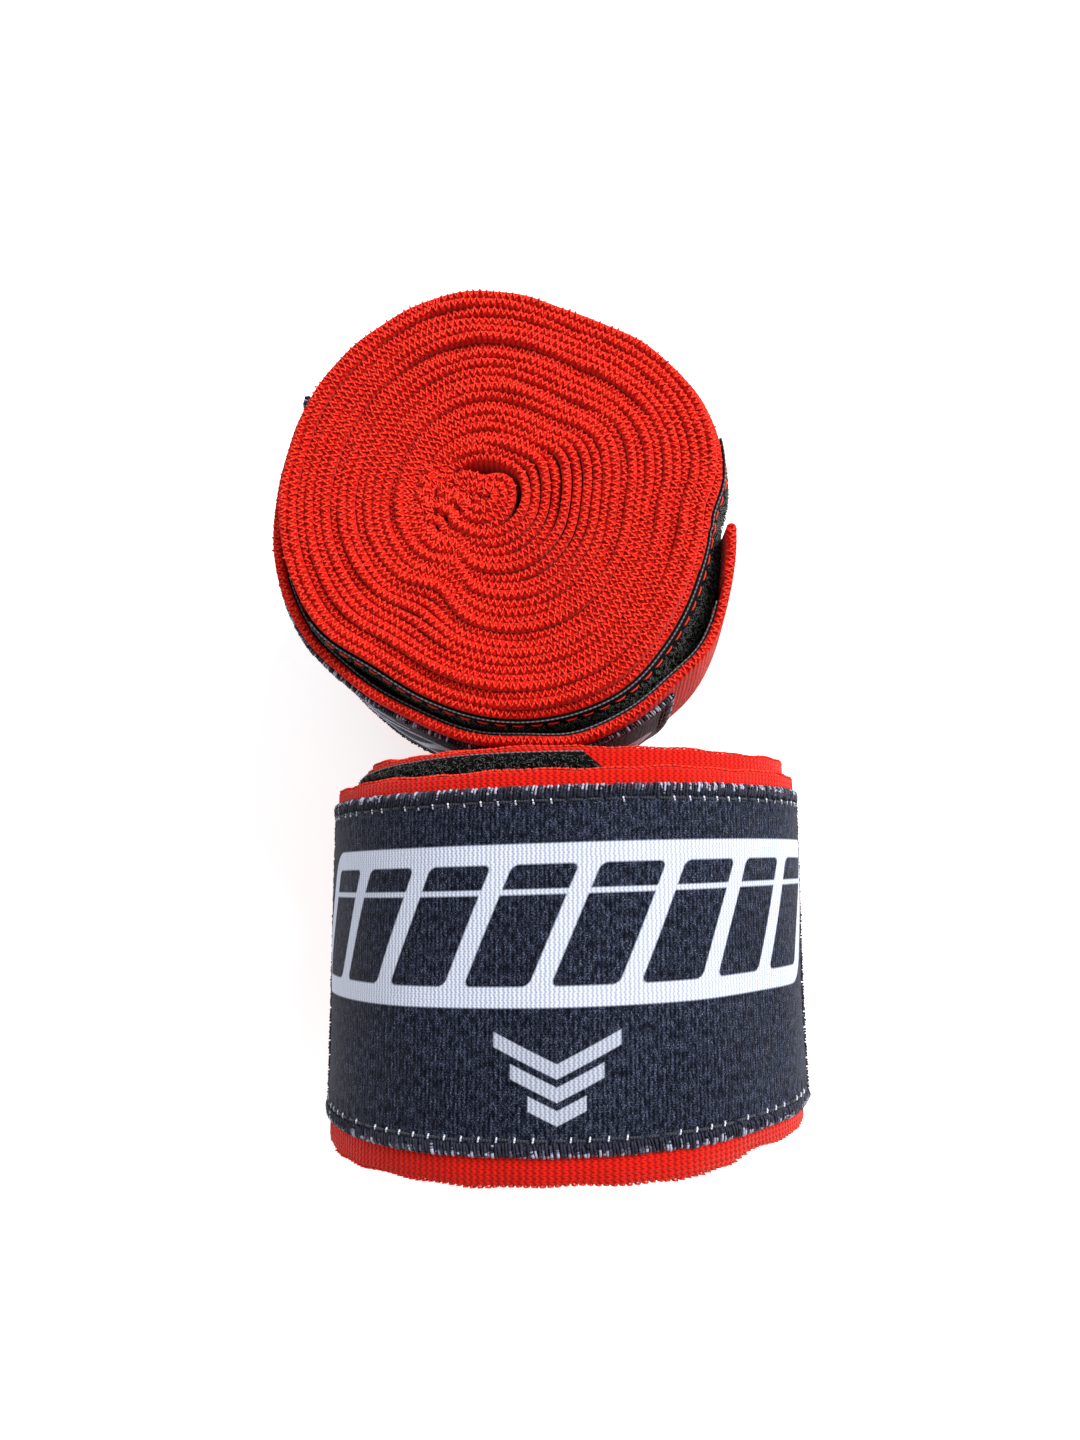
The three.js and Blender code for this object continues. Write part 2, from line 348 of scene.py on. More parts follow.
def tubes(paths, radius, sides, up):
    # Round threads along many paths at once: paths is (threads, steps, 3), in metres.
    tangent = np.gradient(paths, axis=1)
    tangent /= np.linalg.norm(tangent, axis=2, keepdims=True) + 1e-12
    across = np.cross(tangent, up)
    across /= np.linalg.norm(across, axis=2, keepdims=True) + 1e-12
    other = np.cross(across, tangent)
    turn = np.radians(np.arange(sides) * 360 / sides + 45)
    radius = np.asarray(radius) * mm
    radius = radius[..., None, None] if radius.ndim else radius
    ring = across[:, :, None, :] * np.cos(turn)[:, None] + other[:, :, None, :] * np.sin(turn)[:, None]
    return paths[:, :, None, :] + ring * radius


def threadPiece(name, paths, radius, sides, up, material):
    # u runs along each thread, and v tells the threads apart.
    count, steps, _ = paths.shape
    points = tubes(paths, radius, sides, up)
    first = np.arange(count)[:, None, None] * steps * sides
    faces = (gridFaces(steps, sides)[None] + first).reshape(-1, 4)
    caps = np.stack([np.arange(sides)[::-1], np.arange(sides) + (steps - 1) * sides])
    caps = (caps[None] + first).reshape(-1, sides)
    run = np.concatenate([np.zeros((count, 1)), np.cumsum(
        np.linalg.norm(np.diff(paths, axis=1), axis=2), axis=1)], 1) / mm
    tone = np.arange(count)[:, None] * 1.7 + 0 * run
    uv = np.broadcast_to(np.stack([run, tone], -1)[:, :, None, :], (count, steps, sides, 2))
    return meshPiece(name, points, faces, uv, material, caps)


placeWraps()
for wrap in wraps.values():
    strapLine(wrap)
    print("wound", wrap["name"], "strap of", round(wrap["length"] / 1000, 3), "m")


def feed(tree, made, inputs):
    for key, value in inputs.items():
        if isinstance(value, bpy.types.NodeSocket):
            tree.links.new(value, made.inputs[key])
        else:
            made.inputs[key].default_value = value


def node(tree, kind, inputs=None, **settings):
    made = tree.nodes.new(kind)
    for key, value in settings.items():
        setattr(made, key, value)
    feed(tree, made, inputs or {})
    return made


def maths(tree, operation, *values, clamp=False):
    made = node(tree, "ShaderNodeMath", dict(enumerate(values)), operation=operation, use_clamp=clamp)
    return made.outputs[0]


def noise(tree, vector, scale, detail, roughness=0.5):
    return node(tree, "ShaderNodeTexNoise", {
        "Vector": vector, "Scale": scale, "Detail": detail, "Roughness": roughness}).outputs["Fac"]


def between(tree, value, low, high):
    # 0 where the value is low, 1 where it is high.
    return node(tree, "ShaderNodeMapRange", {"Value": value, "From Min": low, "From Max": high}).outputs[0]


def group(name, inputs, outputs):
    tree = bpy.data.node_groups.new(name, "ShaderNodeTree")
    for socket, (kind, value) in inputs.items():
        made = tree.interface.new_socket(name=socket, in_out="INPUT", socket_type="NodeSocket" + kind)
        if value is not None:
            made.default_value = value
    for socket, kind in outputs.items():
        tree.interface.new_socket(name=socket, in_out="OUTPUT", socket_type="NodeSocket" + kind)
    return tree, tree.nodes.new("NodeGroupInput").outputs, tree.nodes.new("NodeGroupOutput").inputs


def knitGroup():
    # Ribs of zigzag knit loops across the cloth: Ridge is 1 on top of a thread and 0 in a groove.
    tree, given, out = group("knitLoops", {
        "Cloth": ("Vector", None), "Rib Pitch": ("Float", 0.85), "Loop Pitch": ("Float", 0.6),
        "Zigzag": ("Float", 0.25), "Unevenness": ("Float", 0.3)}, {"Ridge": "Float", "Fleck": "Float"})
    parts = node(tree, "ShaderNodeSeparateXYZ", {0: given["Cloth"]}).outputs
    halfLoop = maths(tree, "MULTIPLY", given["Loop Pitch"], 0.5)
    swing = maths(tree, "DIVIDE", maths(tree, "PINGPONG", parts["Y"], halfLoop), halfLoop)
    wobble = noise(tree, given["Cloth"], 0.9, 1.0)
    drift = maths(tree, "MULTIPLY", maths(tree, "SUBTRACT", wobble, 0.5), given["Unevenness"])
    shifted = maths(tree, "ADD", maths(tree, "MULTIPLY_ADD", swing, given["Zigzag"], parts["X"]), drift)
    halfRib = maths(tree, "MULTIPLY", given["Rib Pitch"], 0.5)
    rib = maths(tree, "DIVIDE", maths(tree, "PINGPONG", shifted, halfRib), halfRib)
    crown = maths(tree, "SINE", maths(tree, "MULTIPLY", swing, math.pi))
    rounded = maths(tree, "MULTIPLY_ADD", crown, 0.35, 0.65)
    thread = maths(tree, "MULTIPLY", maths(tree, "POWER", rib, 0.8), rounded)
    fine = noise(tree, given["Cloth"], 7.0, 2.0)
    fibres = maths(tree, "MULTIPLY_ADD", fine, 0.7, 0.62)
    tree.links.new(maths(tree, "MULTIPLY", thread, fibres, clamp=True), out["Ridge"])
    tree.links.new(between(tree, fine, 0.56, 0.72), out["Fleck"])
    return tree


def toneGroup():
    # Slow changes of tone over the cloth, and its fine fuzz.
    tree, given, out = group("clothTone", {
        "Cloth": ("Vector", None), "Scale": ("Float", 0.12), "Amount": ("Float", 0.3)},
        {"Tone": "Float", "Fuzz": "Float"})
    centred = maths(tree, "SUBTRACT", noise(tree, given["Cloth"], given["Scale"], 3.0), 0.5)
    tree.links.new(maths(tree, "MULTIPLY_ADD", centred, given["Amount"], 1.0), out["Tone"])
    tree.links.new(noise(tree, given["Cloth"], 11.0, 3.0), out["Fuzz"])
    return tree


# Boxes are (centre along, centre across, half length, half width, corner), in millimetres.
printed = {
    "slant": 0.42, "band": (58.8, 19.2, 45.0, 9.9, 3.6), "barsWithin": (58.8, 19.2, 43.0, 8.2, 1.0),
    "barStart": 4.6, "barPitch": 10.8, "bar": (5.4, 19.2, 4.1, 7.4, 0.9),
    "line": (50.0, 15.2, 60.0, 0.32, 0.1),
    "chevrons": 3, "chevronAt": (49.5, 36.6), "chevronReach": 7.6, "chevronStep": (2.7, 2.1),
    "chevronRise": 0.5, "chevronHalf": 0.85, "inkEdge": 0.12,
}


def printGroup():
    # A plain sports print: a white rounded band with dark slanted bars, and three chevrons below it.
    tree, given, out = group("labelPrint", {"Cloth": ("Vector", None)}, {"Ink": "Float"})
    parts = node(tree, "ShaderNodeSeparateXYZ", {0: given["Cloth"]}).outputs
    across, down = parts["X"], parts["Y"]

    def past(value, centre, half):
        return maths(tree, "SUBTRACT", maths(tree, "ABSOLUTE", maths(tree, "SUBTRACT", value, centre)), half)

    def squared(value):
        above = maths(tree, "MAXIMUM", value, 0.0)
        return maths(tree, "MULTIPLY", above, above)

    def insideBox(x, y, box):
        centreX, centreY, halfX, halfY, corner = box
        dx, dy = past(x, centreX, halfX - corner), past(y, centreY, halfY - corner)
        away = maths(tree, "SQRT", maths(tree, "ADD", squared(dx), squared(dy)))
        return between(tree, maths(tree, "SUBTRACT", away, corner), printed["inkEdge"], -printed["inkEdge"])

    slanted = maths(tree, "MULTIPLY_ADD", down, printed["slant"], across)
    band = insideBox(slanted, down, printed["band"])
    fromStart = maths(tree, "SUBTRACT", slanted, printed["barStart"])
    cell = maths(tree, "WRAP", fromStart, printed["barPitch"], 0.0)
    bars = maths(tree, "MULTIPLY", insideBox(cell, down, printed["bar"]),
                 insideBox(slanted, down, printed["barsWithin"]))
    line = insideBox(across, down, printed["line"])
    dark = maths(tree, "MULTIPLY", bars, maths(tree, "SUBTRACT", 1.0, line))
    ink = maths(tree, "SUBTRACT", band, dark, clamp=True)
    middleX, topY = printed["chevronAt"]
    lower, shorter = printed["chevronStep"]
    reach = maths(tree, "ABSOLUTE", maths(tree, "SUBTRACT", across, middleX))
    depth = maths(tree, "MULTIPLY_ADD", reach, printed["chevronRise"], down)
    for k in range(printed["chevrons"]):
        box = (0.0, topY + lower * k, printed["chevronReach"] - shorter * k, printed["chevronHalf"], 0.05)
        ink = maths(tree, "ADD", ink, insideBox(reach, depth, box), clamp=True)
    tree.links.new(ink, out["Ink"])
    return tree


knitLoops, clothTone, labelPrint = knitGroup(), toneGroup(), printGroup()


def material(name, roughness, sheen, sheenTint=(1, 1, 1, 1), specular=0.35):
    made = bpy.data.materials.new(name)
    made.use_nodes = True
    tree = made.node_tree
    shader = tree.nodes["Principled BSDF"]
    shader.inputs["Roughness"].default_value = roughness
    shader.inputs["Sheen Weight"].default_value = sheen
    shader.inputs["Sheen Roughness"].default_value = 0.45
    shader.inputs["Sheen Tint"].default_value = sheenTint
    shader.inputs["Specular IOR Level"].default_value = specular
    cloth = node(tree, "ShaderNodeUVMap", uv_map="cloth").outputs[0]
    return made, tree, shader, cloth


def useGroup(tree, which, inputs):
    made = tree.nodes.new("ShaderNodeGroup")
    made.node_tree = which
    feed(tree, made, inputs)
    return made.outputs


def mixColour(tree, factor, first, second, blend="MIX"):
    made = node(tree, "ShaderNodeMix", {0: factor, 6: first, 7: second}, data_type="RGBA", blend_type=blend)
    return made.outputs[2]


def bump(tree, shader, height, distance):
    made = node(tree, "ShaderNodeBump", {"Height": height, "Distance": distance * mm, "Strength": 1.0})
    tree.links.new(made.outputs[0], shader.inputs["Normal"])


def toned(tree, colour, tone):
    grey = node(tree, "ShaderNodeCombineColor", {0: tone, 1: tone, 2: tone}).outputs[0]
    return mixColour(tree, 1.0, colour, grey, "MULTIPLY")


def paint(tree, shader, mask, dark, light, tone):
    colour = toned(tree, mixColour(tree, mask, dark, light), tone)
    tree.links.new(colour, shader.inputs["Base Color"])


def knitMaterial(name, groove, ridge, ribPitch, loopPitch, zigzag, relief, roughness, sheen, sheenTint):
    made, tree, shader, cloth = material(name, roughness, sheen, sheenTint, 0.05)
    knit = useGroup(tree, knitLoops, {
        "Cloth": cloth, "Rib Pitch": ribPitch, "Loop Pitch": loopPitch, "Zigzag": zigzag})
    tone = useGroup(tree, clothTone, {"Cloth": cloth, "Amount": 0.35})
    # The groove colour fills the grooves and the ridge colour the thread tops: painted shade between the
    # threads.
    paint(tree, shader, knit["Ridge"], groove, ridge, tone["Tone"])
    bump(tree, shader, knit["Ridge"], relief)
    return made


def threadMaterial(name, dark, light, roughness, sheen, twist, sheenTint=(1, 1, 1, 1)):
    # A twisted yarn: stripes wind along it, painted shade between its plies and painted highlights on them.
    made, tree, shader, cloth = material(name, roughness, sheen, sheenTint, 0.06)
    parts = node(tree, "ShaderNodeSeparateXYZ", {0: cloth}).outputs
    ply = maths(tree, "DIVIDE", maths(tree, "PINGPONG", parts["X"], twist / 2), twist / 2)
    tone = useGroup(tree, clothTone, {"Cloth": cloth, "Scale": 0.6, "Amount": 0.7})
    mask = maths(tree, "MULTIPLY", ply, tone["Fuzz"], clamp=True)
    mask = maths(tree, "MULTIPLY", mask, 1.7, clamp=True)
    paint(tree, shader, mask, dark, light, tone["Tone"])
    bump(tree, shader, ply, 0.04)
    return made


def speckMaterial(name, dark, light, share, roughness, sheen):
    # Dark yarn with some pale wraps and tufts among it.
    made, tree, shader, cloth = material(name, roughness, sheen, (1, 1, 1, 1), 0.2)
    parts = node(tree, "ShaderNodeSeparateXYZ", {0: cloth}).outputs
    which = node(tree, "ShaderNodeTexWhiteNoise", {"W": parts["Y"]}, noise_dimensions="1D").outputs[0]
    fine = noise(tree, cloth, 3.2, 2.0)
    outer = between(tree, parts["X"], 0.5, 1.2)
    both = maths(tree, "MULTIPLY_ADD", fine, 0.6, maths(tree, "MULTIPLY", which, 0.45))
    both = maths(tree, "MULTIPLY_ADD", outer, 0.22, both)
    tuft = between(tree, both, 0.92 - share, 1.02 - share)
    tree.links.new(mixColour(tree, tuft, dark, light), shader.inputs["Base Color"])
    bump(tree, shader, fine, 0.05)
    return made


def labelMaterial():
    made, tree, shader, cloth = material("printedLabel", 0.6, 0.0, (0.75, 0.8, 1, 1), 0.035)
    knit = useGroup(tree, knitLoops, {
        "Cloth": cloth, "Rib Pitch": 0.56, "Loop Pitch": 0.62, "Zigzag": 0.16, "Unevenness": 0.3})
    tone = useGroup(tree, clothTone, {"Cloth": cloth, "Scale": 0.06, "Amount": 0.9})
    ink = useGroup(tree, labelPrint, {"Cloth": cloth})["Ink"]
    drawn = node(tree, "ShaderNodeMapping", {"Vector": cloth, "Scale": (1.9, 0.8, 1)}).outputs[0]
    slub = noise(tree, drawn, 1.0, 3.0, 0.75)
    # lit marks patches where the thread tops take painted highlights; the pale flecks shown only there are
    # painted glints.
    lit = between(tree, slub, 0.40, 0.66)
    crown = maths(tree, "MULTIPLY", knit["Ridge"], maths(tree, "MULTIPLY_ADD", lit, 0.75, 0.25))
    crown = maths(tree, "POWER", crown, 1.5)
    # The charcoal is near black in the grooves: painted shade between the threads.
    charcoal = mixColour(tree, crown, (0.0006, 0.0009, 0.003, 1), (0.058, 0.074, 0.130, 1))
    charcoal = mixColour(tree, maths(tree, "MULTIPLY", knit["Fleck"], lit), charcoal, (0.22, 0.25, 0.37, 1))
    # The white print is greyer in the grooves: painted shade between the threads.
    white = mixColour(tree, knit["Ridge"], (0.27, 0.29, 0.38, 1), (0.64, 0.69, 0.80, 1))
    pinhole = between(tree, slub, 0.30, 0.24)
    white = mixColour(tree, pinhole, white, (0.10, 0.11, 0.16, 1))
    colour = mixColour(tree, ink, toned(tree, charcoal, tone["Tone"]), white)
    tree.links.new(colour, shader.inputs["Base Color"])
    bump(tree, shader, knit["Ridge"], 0.07)
    return made


def fluffMaterial(name, dark, light, roughness, relief, specular):
    made, tree, shader, cloth = material(name, roughness, 0.02, (0.8, 0.85, 1, 1), specular)
    tone = useGroup(tree, clothTone, {"Cloth": cloth, "Scale": 0.9, "Amount": 0.8})
    mask = between(tree, tone["Fuzz"], 0.45, 0.75)
    paint(tree, shader, mask, dark, light, tone["Tone"])
    bump(tree, shader, tone["Fuzz"], relief)
    return made


redTint = (1.0, 0.35, 0.25, 1)
# The strap's dark groove red is painted shade between the knit threads.
strapCloth = knitMaterial("elasticKnit", (0.24, 0.0015, 0.0006, 1), (0.70, 0.011, 0.004, 1),
                          strap["ribPitch"], 0.62, 0.3, 0.16, 0.75, 0.22, (1.0, 0.42, 0.36, 1))
edgeYarn = threadMaterial(
    "edgeYarn", (0.52, 0.006, 0.002, 1), (1.0, 0.070, 0.036, 1), 0.6, 0.06, 0.5, redTint)
redThread = threadMaterial(
    "redThread", (0.55, 0.015, 0.008, 1), (0.85, 0.05, 0.025, 1), 0.5, 0.1, 0.3, redTint)
labelCloth = labelMaterial()
overlockYarn = speckMaterial(
    "overlockYarn", (0.010, 0.011, 0.024, 1), (0.36, 0.38, 0.49, 1), 0.14, 0.6, 0.05)
seamThread = threadMaterial(
    "seamThread", (0.008, 0.009, 0.012, 1), (0.05, 0.055, 0.07, 1), 0.5, 0.1, 0.35)
tuftThread = threadMaterial(
    "tuftThread", (0.35, 0.37, 0.45, 1), (0.85, 0.87, 0.95, 1), 0.6, 0.2, 0.3)
loopBase = fluffMaterial(
    "loopTapeGround", (0.002, 0.002, 0.002, 1), (0.010, 0.011, 0.011, 1), 0.9, 0.25, 0.05)
# The pale flecks on the pile are painted glints on its black fibres.
loopFibre = fluffMaterial(
    "loopFibre", (0.004, 0.004, 0.004, 1), (0.23, 0.245, 0.22, 1), 0.5, 0.0, 0.25)
hookBase = fluffMaterial(
    "hookTapeGround", (0.002, 0.002, 0.003, 1), (0.010, 0.010, 0.012, 1), 0.7, 0.1, 0.1)
hookStalk = fluffMaterial(
    "hookStalk", (0.004, 0.004, 0.005, 1), (0.03, 0.03, 0.034, 1), 0.35, 0.0, 0.4)
selvageYarn = threadMaterial(
    "selvageYarn", (0.02, 0.02, 0.022, 1), (0.20, 0.20, 0.22, 1), 0.6, 0.15, 0.7)
print("materials made")


def attach(piece, wrap, where, replaces=()):
    # Pieces that cross the peel line keep their place baked into their points and go under no body; the rest
    # go under their body.
    if where == "bend":
        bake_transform(piece)
    else:
        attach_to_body(piece, wrap[where])
    if replaces:
        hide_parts(*[f"{wrap['name']}_{n}" for n in replaces])
    return piece


def ribRelief(s, z):
    return strap["ribHeight"] * np.abs(np.sin(np.pi * s / strap["ribPitch"]))


def upOf(wrap):
    return np.array((0, 0, 1.0)) if wrap["upright"] else np.array((0, -1.0, 0))


# The outermost yarn: it swings between the strap's faces and dips over the edge at each end.
edging = {"perLoop": 4, "inward": 0.02, "lift": 0.04, "dip": 0.11, "swing": 0.53, "radius": 0.16}


def edgeYarnAlong(name, wrap, sFrom, sTo, high):
    s = np.arange(sFrom, sTo, strap["loopPitch"] / edging["perLoop"])
    swing = np.tile([0.0, 1.0, 0.0, -1.0], len(s) // 4 + 1)[: len(s)]
    jitter = wrap["yarnPlay"] * rng.normal(0, 1, (3, len(s)))
    edge = highEdge(wrap, s) - edging["inward"] if high else lowEdge(wrap, s) + edging["inward"]
    lift = edging["lift"] - edging["dip"] * np.abs(swing) + 0.08 * jitter[0]
    z = edge + lift if high else edge - lift
    n = swing * (edging["swing"] + 0.09 * jitter[1]) + 0.07 * jitter[0]
    radius = edging["radius"] * (1 + 0.15 * jitter[2])
    path = place(wrap, s + 0.09 * jitter[1], n, z)[None]
    return threadPiece(name, path, radius[None], 4, upOf(wrap), edgeYarn)


hem = {"depth": 7.0, "pressed": 0.55, "stitchAt": 5.2, "beyond": 1.2}
hem["radius"] = hem["pressed"] * strap["thickness"] / 2 + 0.02


def hemPath(u):
    # The strap's end is folded in under itself and pressed: flat, round the fold, then flat underneath.
    radius, pressed, half = hem["radius"], hem["pressed"], strap["thickness"] / 2
    thin = pressed + (1 - pressed) * smoothStep(u, hem["depth"] - 1, hem["depth"] + 1.5)
    start = radius + pressed * half - hem["beyond"]
    turn = np.clip(-u / radius, 0, math.pi)
    under = np.minimum(u + math.pi * radius, 0)
    onTop = np.maximum(u, 0)
    s = start + onTop - radius * np.sin(turn) - under
    n = half * (1 - thin) + radius * (np.cos(turn) - 1)
    return s, n, -np.sin(turn) * thin, np.cos(turn) * thin


def makeStrap(wrap):
    name, half = wrap["name"], strap["thickness"] / 2
    split, onto, end = along(wrap, wrap["splitBack"]), along(wrap, 372), wrap["length"]
    tip = hem["radius"] + hem["pressed"] * half - hem["beyond"]
    shared = {
        "low": lambda s: lowEdge(wrap, s) + strap["underYarn"],
        "high": lambda s: highEdge(wrap, s) - strap["underYarn"],
        "nLow": -half, "nHigh": half, "material": strapCloth, "rounding": strap["edgeRound"],
    }
    folded = hem["depth"] + math.pi * hem["radius"]
    wide = {"outerRows": 24, "innerRows": 10, "relief": ribRelief}
    free = strip(name + "_strap_end", wrap, -folded, split - tip, 0.2, path=hemPath, **wide, **shared)
    attach(free, wrap, "bend", ["free_end"])
    outer = strip(name + "_strap_outer_turn", wrap, split, onto, 0.2, uvStart=tip, **wide, **shared)
    attach(outer, wrap, "roll", ["outer_turn"])
    turns = strip(name + "_strap_turns", wrap, onto, end, 0.45, outerRows=3, innerRows=3, **shared)
    attach(turns, wrap, "roll", ["strap_turns"])
    for atHigh in ((True,) if wrap["upright"] else (True, False)):
        side = "lower" if atHigh else "upper"
        for part, sFrom, sTo, where in (("end", -0.5, split, "bend"), ("turns", split, end, "roll")):
            yarn = edgeYarnAlong(f"{name}_{part}_edge_yarn_{side}", wrap, sFrom, sTo, atHigh)
            attach(yarn, wrap, where)


# Stitches: distance from one to the next, length on top, and how deep their ends sink.
sewing = {"pitch": 2.4, "dash": 1.55, "sink": 0.16, "radius": 0.13}
seam = {"pitch": 2.2, "dash": 1.75, "sink": 0.2, "radius": 0.17, "inset": 1.75}
stitchPlay = 0.04


def stitchRun(first, last, thread):
    # Each stitch rises out of the cloth and goes back into it.
    starts = np.arange(first, last - thread["dash"], thread["pitch"])[:, None]
    t = np.linspace(0, 1, 6)[None, :]
    rise = np.sqrt(np.clip(1 - (2 * t - 1) ** 4, 0, 1)) - 1
    return starts.shape, starts + thread["dash"] * t, rise * thread["sink"]


def stitchRow(wrap, sFrom, sTo, z, n, thread=sewing):
    # Running stitches along the strap.
    shape, run, dip = stitchRun(sFrom, sTo, thread)
    s = run + rng.normal(0, stitchPlay, shape)
    across = z + rng.normal(0, stitchPlay, shape) + 0 * run
    return place(wrap, s, n + math.copysign(1, n) * dip, across)


def stitchColumn(wrap, s, zFrom, zTo, n, thread=sewing):
    # Running stitches across the strap.
    shape, run, dip = stitchRun(zFrom, zTo, thread)
    return place(wrap, s + rng.normal(0, stitchPlay, shape) + 0 * run, n + math.copysign(1, n) * dip, run)


def radial(wrap):
    # A fixed direction is enough to build thread sections round: the roll's own axis.
    return upOf(wrap) + np.array((0.013, 0.021, 0.017))


def sew(name, wrap, paths, radius, sides, material, where, replaces=()):
    piece = threadPiece(f"{wrap['name']}_{name}", paths, radius, sides, radial(wrap), material)
    attach(piece, wrap, where, replaces)


def makeHemStitches(wrap):
    half = strap["thickness"] / 2
    inner = half * (1 - 2 * hem["pressed"]) - 2 * hem["radius"] - 0.04
    rows = [stitchColumn(wrap, hem["stitchAt"], 2, 48, n) for n in (half + 0.09, inner)]
    sew("hem_stitches", wrap, np.concatenate(rows), sewing["radius"], 6, redThread,
        "flap", ["hem_stitching"])


def cadWord(wrap, word):
    # On the standing wrap the CAD calls the two edges the other way round.
    return {"upper": "lower", "lower": "upper"}[word] if wrap["upright"] else word


def sewTape(wrap, kind, where, sFrom, sTo, cordN, stitchN, cut, buried):
    # A cord along each edge of a tape, and a row of stitches beside it.
    for word, edge, row in zip(("upper", "lower"), (tape["low"], tape["high"]), tape["stitchAt"]):
        run = np.arange(sFrom, sTo - cut(edge), 0.5)
        sew(f"{kind}_{word}_selvage", wrap, place(wrap, run, cordN, edge + 0 * run)[None], tape["cord"], 6,
            selvageYarn, where)
        n = stitchN - (buried if word == "upper" else 0.0)
        rows = stitchRow(wrap, sFrom + tape["stitchIn"], sTo - cut(row) - tape["stitchIn"], row, n)
        nodes = [f"{kind}_{cadWord(wrap, word)}_stitching"]
        if where == "bend" and wrap["upright"]:
            nodes.append("flap_" + nodes[0])
        sew(f"{kind}_{word}_stitches", wrap, rows, sewing["radius"], 6, redThread,
            where, nodes)


# One corner of the loop tape is cut off on the slant.
cutOff = {"depth": 5.2, "slant": 1.15}


def cornerCut(z):
    return np.maximum(0, cutOff["depth"] - (z - tape["low"])) * cutOff["slant"]


# Most of the pile is spread over the tape, and some is crowded near the edge that shows.
pile = {
    "count": 6000, "quick": 1500, "crowded": 0.45, "crowdDepth": 6, "depth": 44, "fromHigh": 2.1,
    "fromLow": 0.3, "inset": 0.4, "reach": (0.35, 0.5), "tall": (0.2, 0.3), "bow": 0.25, "side": 0.35,
    "root": 0.56, "radius": 0.055,
}


def makeLoopTape(wrap):
    name, half = wrap["name"], strap["thickness"] / 2
    sFrom, sTo = along(wrap, 360 + tape["loopBack"][0]), along(wrap, 360 + tape["loopBack"][1])
    ground = strip(name + "_loop_tape_ground", wrap, sFrom, sTo, 0.4, tape["low"], tape["high"],
                   half + 0.02, half + 0.62, loopBase, outerRows=30, innerRows=4, rounding=0.2,
                   clip=cornerCut)
    attach(ground, wrap, "roll", ["loop_tape"])
    count = pile["count"]
    crowded = rng.random(count) < pile["crowded"]
    depth = np.where(crowded, rng.random(count) * pile["crowdDepth"], rng.random(count) * pile["depth"])
    z = tape["high"] - pile["fromHigh"] - depth if wrap["upright"] else tape["low"] + pile["fromLow"] + depth
    s = sFrom + pile["inset"] + rng.random(count) * (sTo - sFrom - 2 * pile["inset"])
    kept = s < sTo - cornerCut(z) - pile["inset"]
    s, z = s[kept, None], z[kept, None]
    t = np.linspace(0, 1, 5)[None, :]
    way = rng.random(s.shape) * 2 * math.pi
    reach = pile["reach"][0] + pile["reach"][1] * rng.random(s.shape)
    tall = pile["tall"][0] + pile["tall"][1] * rng.random(s.shape)
    bulge = np.sin(math.pi * t)
    bow = (t - 0.5) * reach + pile["bow"] * (rng.random(s.shape) - 0.5) * bulge
    side = pile["side"] * (rng.random(s.shape) - 0.5) * bulge
    paths = place(wrap, s + bow * np.cos(way) - side * np.sin(way), half + pile["root"] + tall * bulge,
                  z + bow * np.sin(way) + side * np.cos(way))
    sew("loop_tape_pile", wrap, paths, pile["radius"], 3, loopFibre, "roll")
    buried = 0.0 if wrap["upright"] else 0.32
    sewTape(wrap, "loop_tape", "roll", sFrom, sTo, half + 0.5, half + 0.72, cornerCut, buried)


# Each hook is a stalk with a curled tip; they stand in rows.
hooks = {"pitch": 1.35, "quick": 3.0, "closer": 0.8, "inset": 0.6, "across": (3.2, 46.9), "play": 0.05,
         "stalk": [[0, 0.35, 0.62, 0.74, 0.62]], "curl": [[0, 0.0, 0.06, 0.22, 0.36]], "root": 0.3,
         "height": 0.62, "radius": 0.075}


def makeHookTape(wrap):
    name, half = wrap["name"], strap["thickness"] / 2
    sFrom, sTo = (along(wrap, back) for back in tape["hookBack"])
    nodes = ["hook_tape"] + (["flap_hook_tape"] if wrap["upright"] else [])
    ground = strip(name + "_hook_tape_ground", wrap, sFrom, sTo, 0.4, tape["low"], tape["high"],
                   -half - 0.42, -half - 0.02, hookBase, outerRows=4, innerRows=12, rounding=0.18)
    attach(ground, wrap, "bend", nodes)
    pitch = hooks["pitch"]
    rows = np.arange(sFrom + hooks["inset"], sTo - hooks["inset"], pitch * hooks["closer"])
    s, z = np.meshgrid(rows, np.arange(*hooks["across"], pitch))
    s, z = s.ravel()[:, None] + rng.normal(0, hooks["play"], (s.size, 1)), z.ravel()[:, None]
    facing = np.where(rng.random(s.shape) < 0.5, 1.0, -1.0)
    stalk, curl = np.array(hooks["stalk"]), np.array(hooks["curl"])
    n = -half - hooks["root"] - stalk * hooks["height"]
    paths = place(wrap, s + curl * facing, n, z + 0.05 * curl)
    sew("hooks", wrap, paths, hooks["radius"], 4, hookStalk, "bend")
    sewTape(wrap, "hook_tape", "bend", sFrom, sTo, -half - 0.36, -half - 0.5, lambda z: 0.0, 0.0)


label = {"back": (42, 208), "low": 2.3, "high": 46.3, "thickness": 0.42, "above": 0.04,
         "curl": {"standing": 1.8, "lying": 0.3}}


def labelCurl(wrap, s, z):
    # The corner of the label's far end stands off the strap a little.
    end = along(wrap, label["back"][1])
    return label["curl"][wrap["name"]] * smoothStep(s, end - 6, end) ** 2 * smoothStep(z, 28, 46)


def labelRelief(s, z):
    # The seam pulls a groove along the label's edges, and the cloth puckers beside it.
    depth = np.minimum(z - label["low"], label["high"] - z)
    groove = -0.13 * np.exp(-(((depth - seam["inset"]) / 0.3) ** 2))
    wave = np.sin(2 * math.pi * s / seam["pitch"] + 0.6 * np.sin(s * 0.4))
    pucker = 0.07 * wave * np.exp(-(((depth - 2.7) / 0.9) ** 2))
    sag = 0.07 * (np.sin(0.21 * s + 0.13 * z) + np.sin(0.33 * s - 0.19 * z + 2)) * smoothStep(depth, 2, 7)
    return groove + pucker + sag


